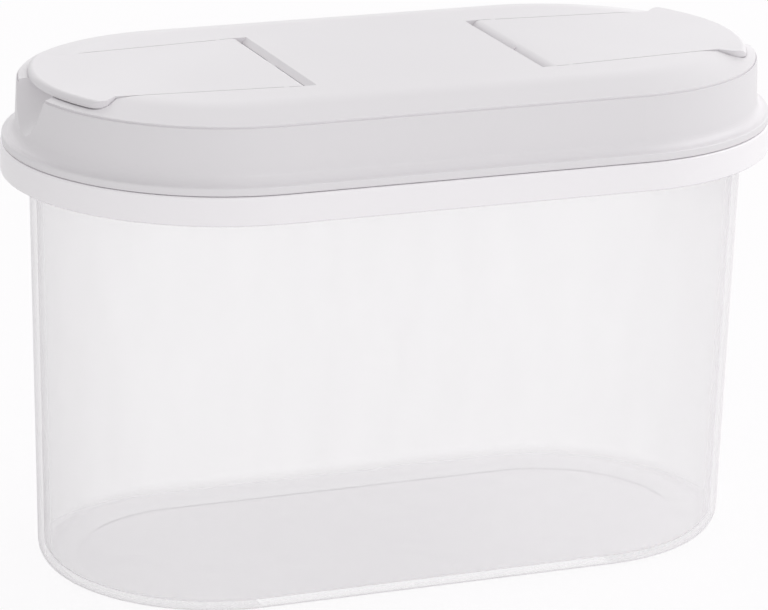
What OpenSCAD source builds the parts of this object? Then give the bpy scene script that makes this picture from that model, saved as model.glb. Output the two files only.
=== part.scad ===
// Dry food keeper: a tall tub with round ends and a push-on lid that has a flip flap at each end.
// Sizes are in millimetres. The origin is at the middle of the base, X runs along the length, Z is up.

/* [Outline] */
// Length over the flange of the lid
flange_len = 200; // [184:1:240]
// Width over the flange of the lid
flange_w = 105.3; // [99:0.1:120]

/* [Tub] */
// Height of the tub, to the top of its rim
tub_h = 109.8; // [80:0.1:200]
// Thickness of the tub's wall
tub_wall = 1.6; // [1.2:0.1:2.2]
// Thickness of the tub's floor at its foot ring
tub_floor = 2.2; // [1.8:0.1:3]
// How far the top of the tub's wall lies inside the outline of the flange
tub_inset = 6.8; // [6.4:0.1:9]
// How far the tub's wall draws in from there down to the base
tub_taper = 2.1; // [0.5:0.1:4]
// Radius of the rounded bottom edge
base_r = 5; // [4:0.5:9]
// Width of the flat ring that the tub stands on
foot_w = 5; // [3:0.5:8]
// Height of the hollow inside that ring
foot_h = 0.7; // [0.3:0.1:1]

/* [Tub rim] */
// Height of the band round the rim
rim_h = 7.3; // [6.8:0.1:10]
// Thickness of the band
rim_wall = 2.4; // [1.8:0.1:2.8]
// How far the band stands out past the outline of the flange
rim_out = 0.3; // [0:0.1:1.2]
// Thickness of the ledge that carries the band
rim_ledge = 1.8; // [1.4:0.1:2]

/* [Lid] */
// Thickness of the flange
flange_t = 2.1; // [1.6:0.1:3]
// Height of the lid's wall above the flange
lid_wall_h = 14; // [12:0.1:20]
// Thickness of the lid's wall
lid_wall = 1.8; // [1.4:0.1:2.2]
// How far the foot of the lid's wall lies inside the outline of the flange
lid_inset = 3.3; // [3:0.1:4.2]
// How far the lid's wall draws in from its foot to its top
lid_taper = 0.4; // [0:0.1:1.2]
// Radius of the curve that runs from the flange into the wall
flare_r = 2.8; // [1.5:0.1:2.9]
// Width of the step between the wall and the shoulder
crease_w = 0.5; // [0.3:0.1:0.8]
// Height of that step
crease_h = 0.5; // [0.3:0.1:0.8]
// Width of the sloping shoulder round the flat top
shoulder_w = 12.2; // [10:0.1:15]
// Drop from the flat top to the outer edge of the shoulder
shoulder_drop = 2.5; // [1.8:0.1:3]
// Radius of the soft edge between the flat top and the shoulder
soft_r = 28; // [8:1:32]
// Thickness of the lid's top
lid_top_t = 2; // [1.6:0.1:2.6]
// Depth of the skirt that goes into the rim
skirt_h = 4.4; // [3:0.1:4.8]
// Thickness of the skirt
skirt_t = 1.8; // [1.4:0.1:2.2]
// Height of the sealing bead round the skirt
bead_h = 0.2; // [0.1:0.05:0.2]

/* [Flaps] */
// Distance from the middle of the lid to the axis of each hinge
hinge_x = 34.2; // [30:0.1:40]
// Width of a flap at its hinge
flap_w = 49.2; // [44:0.1:54]
// Width of a flap where its lip begins
flap_tip_w = 42; // [38:0.1:44]
// Width over the lip
lip_w = 48.6; // [46:0.1:54]
// How far the edge of the lip lies inside the outline of the flange
lip_inset = 6.6; // [6.2:0.1:8]
// Radius of the lip's corners
lip_corner_r = 3; // [2:0.1:4]
// Radius of the rolled top edge of the lip
lip_roll = 1.5; // [0.5:0.1:1.6]
// Thickness of a flap
flap_t = 1.8; // [1.7:0.1:2]
// Thickness of the lid below a flap
well_t = 1.6; // [1.2:0.1:2]

/* [Hinges] */
// Radius of the rounded hinge edge of a flap
barrel_r = 2.3; // [2.1:0.1:2.6]
// Width of the bevel that leads down from the lid's top to a hinge
bevel_w = 1.3; // [0.5:0.1:1.5]
// Thickness of the wall round the hinge trough
trough_wall = 1.6; // [1.2:0.1:2]
// Radius of the hinge pins
pin_r = 1.3; // [1:0.1:1.5]
// Length of a hinge pin in its socket
pin_len = 2.2; // [1.6:0.1:3]
// Thickness of the lid behind the end of a pin
pin_stop = 1.4; // [1:0.1:2]
// Length of the click nub in the middle of the hinge edge
nub_len = 5; // [3:0.5:8]
// Height of the click nub
nub_h = 0.3; // [0.15:0.05:0.3]

/* [Pour openings] */
// Distance from a hinge axis to the near edge of its pour opening
opening_near = 9.8; // [8:0.1:12]
// Distance from the edge of the lip to the far edge of the pour opening
opening_far = 11.6; // [11:0.1:16]
// Width of a pour opening
opening_w = 34; // [26:0.5:36]
// Radius of the corners of a pour opening
opening_r = 5; // [3:0.5:8]
// Depth of the sealing ring below a flap
ring_h = 2.6; // [1.8:0.1:4]
// Thickness of the sealing ring
ring_t = 1.2; // [0.8:0.1:1.8]

/* [Finger scoops] */
// Radius of the finger scoop in each end of the lid
scoop_r = 14; // [11:0.5:16]
// Lean of the scoop
scoop_lean = 38; // [33:1:42]
// Height of the scoop's lowest point above the flange
scoop_rise = 3.2; // [3:0.1:5]
// Thickness of the wall behind the scoop
scoop_wall = 1.6; // [1.2:0.1:2]

/* [Clearances] */
// Gap between the flange and the rim
seat_gap = 0.1; // [0.05:0.05:0.2]
// Gap between the skirt and the inside of the rim
skirt_gap = 0.3; // [0.25:0.05:0.5]
// Gap round the sides and the lip of a flap
flap_gap = 0.35; // [0.3:0.05:0.5]
// Gap below a flap
rest_gap = 0.3; // [0.2:0.05:0.4]
// Gap between the hinge edge of a flap and its trough
trough_gap = 0.6; // [0.6:0.05:1]
// Radial clearance of a hinge pin in its socket
pin_gap = 0.05; // [0.02:0.01:0.08]
// Gap beyond the end of a hinge pin
pin_end_gap = 0.3; // [0.2:0.05:0.5]
// Gap round the sealing ring of a flap
ring_gap = 0.4; // [0.3:0.05:0.6]

/* [Hidden] */
$fn = 96;

// Colours of the clear tub and the white lid
tub_colour = [0.93, 0.94, 0.95, 0.6];
lid_colour = [0.9, 0.9, 0.91];
flap_colour = [0.87, 0.87, 0.88];

// Cutters reach past the faces that they cut by this much
past = 1;

// Steps per quarter turn in small arcs, in the long arc of the lip and in the soft edge of the lid's top
quarter_steps = 8;
lip_steps = 32;
soft_steps = 48;

// Angles of a quarter turn and of the slant where the lip widens
quarter = 90;
slant = 45;

// Angles between which the click nub lies on the hinge edge
nub_from = 130;
nub_to = 160;

// Centre of each round end, and the radius of the flange there
flange_r = flange_w / 2;
end_c = (flange_len - flange_w) / 2;

// Tub levels and radii
z_ledge = tub_h - rim_h;
z_ledge_top = z_ledge + rim_ledge;
r_tub_top = flange_r - tub_inset;
r_tub_base = r_tub_top - tub_taper;
r_rim = flange_r + rim_out;
r_rim_in = r_rim - rim_wall;
rim_edge = 0.5;
ledge_fillet = 2;

// Lid levels and radii
z_flange = tub_h + seat_gap;
z_flange_top = z_flange + flange_t;
z_crease = z_flange_top + lid_wall_h;
z_top = z_crease + shoulder_drop;
z_skirt = z_flange - skirt_h;
r_foot = flange_r - lid_inset;
r_crease = r_foot - lid_taper;
r_shoulder = r_crease - crease_w;
r_top = r_crease - shoulder_w;
r_skirt = r_rim_in - skirt_gap;
slope = atan(shoulder_drop / (r_shoulder - r_top));
flange_edge = 0.5;
skirt_edge = 0.6;
crease_edge = 0.2;

// Hinge, flap and opening places
hinge_z = z_top - barrel_r;
trough_r = barrel_r + trough_gap;
r_lip = flange_r - lip_inset;
lip_edge_angle = 15;
well_depth = flap_t + rest_gap;
z_well = z_top - well_depth;
z_flap_under = z_top - flap_t;
pin_y = flap_w / 2 + flap_gap + pin_len;
socket_y = pin_y + pin_end_gap;
opening_x0 = hinge_x + opening_near;
opening_x1 = end_c + r_lip - opening_far;

// Points of an arc about c, from angle a0 to angle a1
function arc(c, r, a0, a1, steps = quarter_steps) =
    let (n = max(2, ceil(steps * abs(a1 - a0) / quarter)))
    [for (i = [0:n]) let (a = a0 + (a1 - a0) * i / n) c + r * [cos(a), sin(a)]];

// Points of a profile's far half, for a section through both sides
function mirrored(p) = [for (i = [len(p) - 2:-1:1]) [-p[i][0], p[i][1]]];

// Solid of stadium plan, from a half profile that starts and ends on the axis
module stadium(profile) {
    for (turn = [0, 2 * quarter])
        rotate([0, 0, turn])
            translate([end_c, 0, 0])
                rotate([0, 0, -quarter])
                    rotate_extrude(angle = 2 * quarter)
                        polygon(profile);
    rotate([quarter, 0, quarter])
        linear_extrude(height = 2 * end_c, center = true)
            polygon(concat(profile, mirrored(profile)));
}

// A part made once for the right end and mirrored for the left
module both_ends() {
    children();
    mirror([1, 0, 0])
        children();
}

// Profile points of the tub's wall with its rounded foot, for a wall that is set in by t
function tub_wall_points(t, z0) =
    let (lean = atan(tub_taper / z_ledge),
         r = base_r - t,
         c = [r_tub_base - t / cos(lean) + (z0 + r) * tan(lean) - r / cos(lean), z0 + r])
    arc(c, r, -quarter, -lean);

// Outside of the tub
function tub_outer() = concat(
    [[0, foot_h],
     [r_tub_base - base_r - foot_w - foot_h, foot_h],
     [r_tub_base - base_r - foot_w, 0]],
    tub_wall_points(0, 0),
    arc([r_tub_top + ledge_fillet, z_ledge - ledge_fillet], ledge_fillet, 2 * quarter, quarter),
    arc([r_rim - rim_edge, z_ledge + rim_edge], rim_edge, -quarter, 0),
    arc([r_rim - rim_edge, tub_h - rim_edge], rim_edge, 0, quarter),
    [[r_rim_in, tub_h],
     [0, tub_h]]);

// Hollow of the tub
function tub_inner() = concat(
    [[0, tub_floor]],
    tub_wall_points(tub_wall, tub_floor),
    [[r_tub_top - tub_wall, z_ledge_top - rim_edge],
     [r_tub_top - tub_wall + rim_edge, z_ledge_top],
     [r_rim_in, z_ledge_top],
     [r_rim_in, tub_h + past],
     [0, tub_h + past]]);

module tub() {
    color(tub_colour)
        difference() {
            stadium(tub_outer());
            stadium(tub_inner());
        }
}

// Shoulder from its outer edge up to the flat top
function shoulder_points() = concat(
    [[r_shoulder, z_crease]],
    arc([r_top - soft_r * tan(slope / 2), z_top - soft_r], soft_r, quarter - slope, quarter, soft_steps),
    [[0, z_top]]);

// Outside of the lid, with its skirt, flange, flared wall, step and shoulder
function lid_outer() = concat(
    [[0, z_skirt],
     [r_skirt - skirt_edge, z_skirt],
     [r_skirt, z_skirt + skirt_edge],
     [r_skirt, z_skirt + skirt_h / 2 - 2 * bead_h],
     [r_skirt + bead_h, z_skirt + skirt_h / 2],
     [r_skirt, z_skirt + skirt_h / 2 + 2 * bead_h],
     [r_skirt, z_flange]],
    arc([flange_r - flange_edge, z_flange + flange_edge], flange_edge, -quarter, 0),
    arc([flange_r - flange_edge, z_flange_top - flange_edge], flange_edge, 0, quarter),
    arc([r_foot + flare_r, z_flange_top + flare_r], flare_r, 3 * quarter, 2 * quarter),
    arc([r_crease - crease_edge, z_crease - crease_h - crease_edge], crease_edge, 0, quarter),
    [[r_shoulder, z_crease - crease_h - crease_edge]],
    shoulder_points());

// Hollow of the lid
function lid_inner() = [
    [0, z_skirt - past],
    [r_skirt - skirt_t, z_skirt - past],
    [r_skirt - skirt_t, z_flange],
    [r_foot - lid_wall, z_flange_top + flare_r],
    [r_crease - lid_wall, z_crease - lid_top_t],
    [r_shoulder - lid_wall - crease_w, z_crease - lid_top_t + crease_w],
    [r_top, z_top - lid_top_t],
    [0, z_top - lid_top_t]];

module lid_form() {
    stadium(lid_outer());
}

// Top surface of the flaps: level with the lid's flat top, and rolled over at the lip
function flap_top() =
    let (rc = r_lip - lip_roll * cos(lip_edge_angle),
         fall = past / tan(lip_edge_angle))
    concat(
        [[0, z_skirt],
         [r_lip + past, z_skirt],
         [r_lip + past, z_top - lip_roll * (1 - sin(lip_edge_angle)) - fall]],
        arc([rc, z_top - lip_roll], lip_roll, lip_edge_angle, quarter),
        [[0, z_top]]);

// Plan of a flap from x0 outwards, grown by g all round
function flap_plan(x0, g) =
    let (rc = lip_corner_r + g,
         cy = lip_w / 2 - lip_corner_r,
         cr = r_lip - lip_corner_r,
         cx = end_c + sqrt(cr * cr - cy * cy),
         a_lip = asin(cy / cr),
         a_end = quarter + slant,
         side = concat(
             arc([end_c, 0], r_lip + g, 0, a_lip, lip_steps),
             arc([cx, cy], rc, a_lip + quarter / quarter_steps, a_end),
             [[cx + rc * cos(a_end) - (cy + rc * sin(a_end) - flap_tip_w / 2 - g), flap_tip_w / 2 + g],
              [hinge_x, flap_w / 2 + g]],
             x0 < hinge_x ? [[x0, flap_w / 2 + g]] : []))
    concat(side, [for (i = [len(side) - 1:-1:1]) [side[i][0], -side[i][1]]]);

// Upright block of the flap's plan, from z0 up past the lid's top
module flap_block(x0, g, z0) {
    translate([0, 0, z0])
        linear_extrude(height = z_top - z0 + past)
            polygon(flap_plan(x0, g));
}

// Bar along Y through the right hinge, from a section in X and Z
module hinge_bar(section, width) {
    translate([hinge_x, 0, hinge_z])
        rotate([quarter, 0, 0])
            linear_extrude(height = width, center = true)
                polygon(section);
}

// Rod along Y on the hinge axis, from y0 to y1
module hinge_rod(r, y0, y1) {
    translate([hinge_x, y1, hinge_z])
        rotate([quarter, 0, 0])
            cylinder(r = r, h = y1 - y0);
}

// Rounded rectangle over the pour opening, shrunk by s all round
module opening_plan(s) {
    r = opening_r - s;
    x0 = opening_x0 + opening_r;
    x1 = opening_x1 - opening_r;
    y = opening_w / 2 - opening_r;
    polygon(concat(
        arc([x1, y], r, 0, quarter),
        arc([x0, y], r, quarter, 2 * quarter),
        arc([x0, -y], r, 2 * quarter, 3 * quarter),
        arc([x1, -y], r, 3 * quarter, 4 * quarter)));
}

// Leaning cylinder of the right finger scoop, which starts just below its tip in the lid's wall
module scoop(r) {
    reach = r_crease + end_c;
    drop = z_flange_top + scoop_rise;
    translate([reach + scoop_r / cos(scoop_lean), 0, drop])
        rotate([0, -scoop_lean, 0])
            translate([0, 0, scoop_r * tan(scoop_lean) - past])
                cylinder(r = r, h = 2 * scoop_r);
}

// Floor below the right flap, its hinge housing and the wall of its scoop
module well_body() {
    intersection() {
        union() {
            flap_block(hinge_x - trough_r - trough_wall, flap_gap + trough_wall, z_well - well_t);
            hinge_rod(trough_r + trough_wall, -socket_y - pin_stop, socket_y + pin_stop);
            scoop(scoop_r + scoop_wall);
        }
        lid_form();
    }
}

// What is cut from the lid at the right flap
module well_cut() {
    flap_block(hinge_x, flap_gap, z_well);
    hinge_bar(concat(
        [[trough_r, barrel_r + past],
         [-trough_r - bevel_w - past, barrel_r + past],
         [-trough_r, barrel_r - bevel_w]],
        arc([0, 0], trough_r, 2 * quarter, 4 * quarter)), flap_w + 2 * flap_gap);
    hinge_rod(pin_r + pin_gap, -socket_y, socket_y);
    scoop(scoop_r);
    translate([0, 0, z_skirt])
        linear_extrude(height = z_top - z_skirt)
            opening_plan(0);
}

module lid() {
    color(lid_colour)
        difference() {
            union() {
                difference() {
                    lid_form();
                    stadium(lid_inner());
                }
                both_ends()
                    well_body();
            }
            both_ends()
                well_cut();
        }
}

// Right flap: a flat plate with a rolled lip, a rounded hinge edge with pins, and a sealing ring
module flap() {
    intersection() {
        flap_block(hinge_x, 0, z_flap_under);
        stadium(flap_top());
    }
    hinge_bar(concat(
        arc([0, 0], barrel_r, quarter, 4 * quarter + asin(1 - flap_t / barrel_r)),
        [[barrel_r + flap_t, barrel_r - flap_t],
         [barrel_r + flap_t, barrel_r]]), flap_w);
    hinge_rod(pin_r, -pin_y, pin_y);
    hinge_bar(concat(
        [[0, 0]],
        arc([0, 0], barrel_r + nub_h, nub_from, nub_to)), nub_len);
    translate([0, 0, z_flap_under - ring_h])
        linear_extrude(height = ring_h + flap_t / 2)
            difference() {
                opening_plan(ring_gap);
                opening_plan(ring_gap + ring_t);
            }
}

module left_flap() {
    color(flap_colour)
        mirror([1, 0, 0])
            flap();
}

module right_flap() {
    color(flap_colour)
        flap();
}

tub();
lid();
left_flap();
right_flap();
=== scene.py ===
"""Looks of a dry food keeper: a clear tub and a white lid with two flip flaps, in moulded polypropylene."""
import math

import bpy
from mathutils import Matrix, Vector


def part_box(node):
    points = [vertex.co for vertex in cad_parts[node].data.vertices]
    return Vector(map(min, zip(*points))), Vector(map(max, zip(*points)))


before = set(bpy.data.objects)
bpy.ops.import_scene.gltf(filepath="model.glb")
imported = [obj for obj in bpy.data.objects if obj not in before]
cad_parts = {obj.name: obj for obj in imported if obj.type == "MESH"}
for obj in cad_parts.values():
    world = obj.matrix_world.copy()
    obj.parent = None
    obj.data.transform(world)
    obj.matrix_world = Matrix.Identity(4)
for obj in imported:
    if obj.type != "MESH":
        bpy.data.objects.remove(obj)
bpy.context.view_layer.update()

MM = 0.001

# Camera, matched to the edges of the lid and the tub, with its angles in degrees
PHOTO_W = 768
AZIMUTH, ELEVATION, ROLL = -22.19, 17.51, 1.31
AIM = Vector((-2.16, -3.17, 63.12)) * MM
DISTANCE = 1098.4 * MM
SENSOR = 36
FOCAL_PIXELS = 4316.7
NEAR_LIMIT, FAR_LIMIT = 0.01, 50

# Softboxes stand round the middle of the object, in metres
LIT_POINT = Vector((0, 0, 0.08))
SOFTBOX_DISTANCE = 1.8
SOFTBOX_SIZE = 1.2

# Azimuth and elevation of each in degrees, with 0 at the front and 90 at the right, and its watts
SOFTBOXES = {
    "right_softbox": (90, 42, 9),
    "front_softbox": (0, 12, 5),
    "back_softbox": (180, 26, 2.8),
    "far_right_softbox": (135, 12, 2.8)}

# Light from all round, beside a plain white of 1 behind the object
ROOM_LIGHT = 0.6

# Side of the floor in metres, and its share of plain white: the rest shows the object's shadow
FLOOR_SIZE = 8
FLOOR_GLOW = 0.9

# Colours of the plastics and the stage, as sRGB
NATURAL_PP = "FEFBFE"
WHITE_PP = "EBE8EB"
STAGE_WHITE = "FFFFFF"
BACKDROP_WHITE = "FFFEFF"

# Heights where the tub turns milkier: its floor and foot below the first, its rim above the second
BASE_END = 5 * MM
RIM_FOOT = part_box("tub")[1][2] - 7.3 * MM
SOFT_CHANGE = 0.5 * MM

# How milky one face of the tub is, from clear at 0: its wall seen square and edge-on, rim, and base on top
WALL_MILK = 0.09
EDGE_MILK = 0.32
RIM_MILK = 1.0
BASE_MILK = 0.19

# A look along the wall's own thickness starts at this facing value and adds this much milk
SKIM_FROM = 0.6
SKIM_MILK = 0.9

# Polypropylene bends light by this much
PP_IOR = 1.49

# Roughness from the smoothest to the dullest spots of each finish
SPARK_SATIN = (0.34, 0.44)
POLISHED = (0.26, 0.34)

# Real sizes of the moulded surfaces' patterns
SPARK_GRAIN = 0.35 * MM      # the real grain is 0.1 mm: drawn coarser so that it shows
SPARK_DEPTH = 0.02 * MM
SINK_WAVE = 26 * MM          # soft waves where the plastic shrank as it cooled
SINK_DEPTH = 0.4 * MM
FLOW_LINE = 9 * MM           # spacing of the faint upright streaks in a clear wall
FLOW_DEPTH = 0.1 * MM
FLOW_STRETCH = 0.3           # the streaks' spacing across, as a share of their length
FLOW_MILK = 0.01             # how much a streak adds to or takes from the wall's milk


def linear(hex_colour, alpha=1.0):
    """An sRGB hex colour as a linear RGBA value."""
    parts = [int(hex_colour[i:i + 2], 16) / 255 for i in (0, 2, 4)]
    return tuple(c / 12.92 if c <= 0.04045 else ((c + 0.055) / 1.055) ** 2.4 for c in parts) + (alpha,)


def add(tree, kind, sockets=None, **settings):
    """Adds a node. A socket's value is a plain value, or (node, output name) for a link."""
    made = tree.nodes.new(kind)
    for name, value in settings.items():
        setattr(made, name, value)
    for name, value in (sockets or {}).items():
        if isinstance(value, tuple) and isinstance(value[0], bpy.types.Node):
            tree.links.new(value[0].outputs[value[1]], made.inputs[name])
        else:
            made.inputs[name].default_value = value
    return made


def new_material(name):
    """An empty node material and its tree."""
    material = bpy.data.materials.new(name)
    material.use_nodes = True
    material.node_tree.nodes.clear()
    return material, material.node_tree


def moulded_white_polypropylene(name, colour):
    """Opaque white polypropylene from a spark-finished mould: an even satin, never mirror-like."""
    material, tree = new_material(name)
    place = add(tree, "ShaderNodeTexCoord")
    grain = add(tree, "ShaderNodeTexNoise", {
        "Vector": (place, "Object"), "Scale": 1 / SPARK_GRAIN, "Detail": 2.0, "Roughness": 0.6})
    wave = add(tree, "ShaderNodeTexNoise", {
        "Vector": (place, "Object"), "Scale": 1 / SINK_WAVE, "Detail": 1.0, "Roughness": 0.4})
    satin = add(tree, "ShaderNodeMapRange", {
        "Value": (wave, "Fac"), "To Min": SPARK_SATIN[0], "To Max": SPARK_SATIN[1]})
    low = add(tree, "ShaderNodeBump", {
        "Height": (wave, "Fac"), "Distance": SINK_DEPTH, "Strength": 0.1})
    fine = add(tree, "ShaderNodeBump", {
        "Height": (grain, "Fac"), "Distance": SPARK_DEPTH, "Strength": 0.25, "Normal": (low, "Normal")})
    plastic = add(tree, "ShaderNodeBsdfPrincipled", {
        "Base Color": linear(colour), "Roughness": (satin, "Result"), "IOR": PP_IOR,
        "Normal": (fine, "Normal")})
    add(tree, "ShaderNodeOutputMaterial", {"Surface": (plastic, "BSDF")})
    return material


def moulded_natural_polypropylene(name):
    """Uncoloured polypropylene from a polished mould: milky and see-through, whiter where it is thick."""
    material, tree = new_material(name)
    place = add(tree, "ShaderNodeTexCoord")
    axes = add(tree, "ShaderNodeSeparateXYZ", {"Vector": (place, "Object")})
    streaks = add(tree, "ShaderNodeMapping", {
        "Vector": (place, "Object"), "Scale": (1 / FLOW_LINE, 1 / FLOW_LINE, FLOW_STRETCH / FLOW_LINE)})
    flow = add(tree, "ShaderNodeTexNoise", {
        "Vector": (streaks, "Vector"), "Scale": 1.0, "Detail": 2.0, "Roughness": 0.5})
    edge_on = add(tree, "ShaderNodeLayerWeight", {"Blend": 0.35})
    wall = add(tree, "ShaderNodeMapRange", {
        "Value": (edge_on, "Facing"), "To Min": WALL_MILK, "To Max": EDGE_MILK})
    skim = add(tree, "ShaderNodeMapRange", {
        "Value": (edge_on, "Facing"), "From Min": SKIM_FROM, "To Min": 0.0, "To Max": SKIM_MILK})
    cloud = add(tree, "ShaderNodeMapRange", {
        "Value": (flow, "Fac"), "From Min": 0.3, "From Max": 0.7, "To Min": -FLOW_MILK, "To Max": FLOW_MILK})
    base = add(tree, "ShaderNodeMapRange", {
        "Value": (axes, "Z"), "From Max": BASE_END, "To Min": BASE_MILK, "To Max": 0.0},
        interpolation_type="SMOOTHSTEP")
    rim = add(tree, "ShaderNodeMapRange", {
        "Value": (axes, "Z"), "From Min": RIM_FOOT - SOFT_CHANGE, "From Max": RIM_FOOT + SOFT_CHANGE,
        "To Min": 0.0, "To Max": RIM_MILK})
    thin = add(tree, "ShaderNodeMath", {0: (wall, "Result"), 1: (cloud, "Result")}, operation="ADD")
    thick = add(tree, "ShaderNodeMath", {0: (skim, "Result"), 1: (base, "Result")}, operation="ADD")
    body = add(tree, "ShaderNodeMath", {0: (thin, "Value"), 1: (thick, "Value")}, operation="ADD")
    milk = add(tree, "ShaderNodeMath", {0: (body, "Value"), 1: (rim, "Result")}, operation="MAXIMUM")
    sheen = add(tree, "ShaderNodeMapRange", {
        "Value": (flow, "Fac"), "To Min": POLISHED[0], "To Max": POLISHED[1]})
    ripple = add(tree, "ShaderNodeBump", {
        "Height": (flow, "Fac"), "Distance": FLOW_DEPTH, "Strength": 0.05})
    plastic = add(tree, "ShaderNodeBsdfPrincipled", {
        "Base Color": linear(NATURAL_PP), "Roughness": (sheen, "Result"), "IOR": PP_IOR,
        "Alpha": (milk, "Value"), "Normal": (ripple, "Normal")})
    add(tree, "ShaderNodeOutputMaterial", {"Surface": (plastic, "BSDF")})
    return material


def stage_white(name, share):
    """A pale matt floor that the camera sees as mostly plain white, with a faint shadow."""
    material, tree = new_material(name)
    path = add(tree, "ShaderNodeLightPath")
    blend = add(tree, "ShaderNodeMath", {0: (path, "Is Camera Ray"), 1: share}, operation="MULTIPLY")
    matt = add(tree, "ShaderNodeBsdfDiffuse", {"Color": linear(STAGE_WHITE)})
    plain = add(tree, "ShaderNodeEmission", {"Color": linear(BACKDROP_WHITE), "Strength": 1.0})
    mixed = add(tree, "ShaderNodeMixShader", {0: (blend, "Value"), 1: (matt, "BSDF"), 2: (plain, "Emission")})
    add(tree, "ShaderNodeOutputMaterial", {"Surface": (mixed, "Shader")})
    return material


def dress(node, material):
    """Gives a CAD node its material."""
    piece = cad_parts[node]
    piece.data.materials.clear()
    piece.data.materials.append(material)


def make_floor():
    """The surface that the tub stands on."""
    bpy.ops.mesh.primitive_plane_add(size=FLOOR_SIZE, location=(0, 0, 0))
    floor = bpy.context.object
    floor.name = "floor"
    floor.data.materials.append(stage_white("pale_floor", FLOOR_GLOW))


def make_world(light):
    """Plain white behind the object and in its reflections, and a softer light from all round."""
    world = bpy.data.worlds.new("soft_room")
    bpy.context.scene.world = world
    world.use_nodes = True
    tree = world.node_tree
    tree.nodes.clear()
    path = add(tree, "ShaderNodeLightPath")
    direct = add(tree, "ShaderNodeMath", {0: (path, "Is Camera Ray"), 1: (path, "Is Transmission Ray")},
                 operation="MAXIMUM")
    seen = add(tree, "ShaderNodeMath", {0: (direct, "Value"), 1: (path, "Is Glossy Ray")},
               operation="MAXIMUM")
    room = add(tree, "ShaderNodeBackground", {"Color": linear(STAGE_WHITE), "Strength": light})
    white = add(tree, "ShaderNodeBackground", {"Color": linear(BACKDROP_WHITE), "Strength": 1.0})
    mixed = add(tree, "ShaderNodeMixShader", {
        0: (seen, "Value"), 1: (room, "Background"), 2: (white, "Background")})
    add(tree, "ShaderNodeOutputWorld", {"Surface": (mixed, "Shader")})


def softbox(name, azimuth, elevation, watts):
    """A square lamp that looks at the object."""
    turn, rise = math.radians(azimuth), math.radians(elevation)
    towards = Vector((math.sin(turn) * math.cos(rise), -math.cos(turn) * math.cos(rise), math.sin(rise)))
    lamp = bpy.data.lights.new(name, "AREA")
    lamp.shape = "SQUARE"
    lamp.size = SOFTBOX_SIZE
    lamp.energy = watts
    holder = bpy.data.objects.new(name, lamp)
    holder.location = LIT_POINT + SOFTBOX_DISTANCE * towards
    holder.rotation_euler = (-towards).to_track_quat("-Z", "Y").to_euler()
    bpy.context.scene.collection.objects.link(holder)


def make_camera():
    """The camera at the photograph's angle, distance and lens."""
    azimuth, elevation, roll = (math.radians(a) for a in (AZIMUTH, ELEVATION, ROLL))
    back = Vector((math.sin(azimuth) * math.cos(elevation),
                   -math.cos(azimuth) * math.cos(elevation), math.sin(elevation)))
    right = Vector((math.cos(azimuth), math.sin(azimuth), 0))
    up = back.cross(right)
    right, up = (right * math.cos(roll) + up * math.sin(roll),
                 up * math.cos(roll) - right * math.sin(roll))
    data = bpy.data.cameras.new("camera")
    data.sensor_fit = "HORIZONTAL"
    data.sensor_width = SENSOR
    data.lens = FOCAL_PIXELS / PHOTO_W * SENSOR
    data.clip_start = NEAR_LIMIT
    data.clip_end = FAR_LIMIT
    camera = bpy.data.objects.new("camera", data)
    turn = Matrix((right, up, back)).transposed().to_4x4()
    camera.matrix_world = Matrix.Translation(AIM + DISTANCE * back) @ turn
    bpy.context.scene.collection.objects.link(camera)
    bpy.context.scene.camera = camera


make_camera()
make_floor()
make_world(ROOM_LIGHT)
for softbox_name, (side, height, power) in SOFTBOXES.items():
    softbox(softbox_name, side, height, power)

bpy.context.scene.view_settings.view_transform = "Standard"

clear_plastic = moulded_natural_polypropylene("moulded_natural_polypropylene")
white_plastic = moulded_white_polypropylene("moulded_white_polypropylene", WHITE_PP)
dress("tub", clear_plastic)
dress("lid", white_plastic)
for flap in ("left_flap", "right_flap"):
    dress(flap, white_plastic)
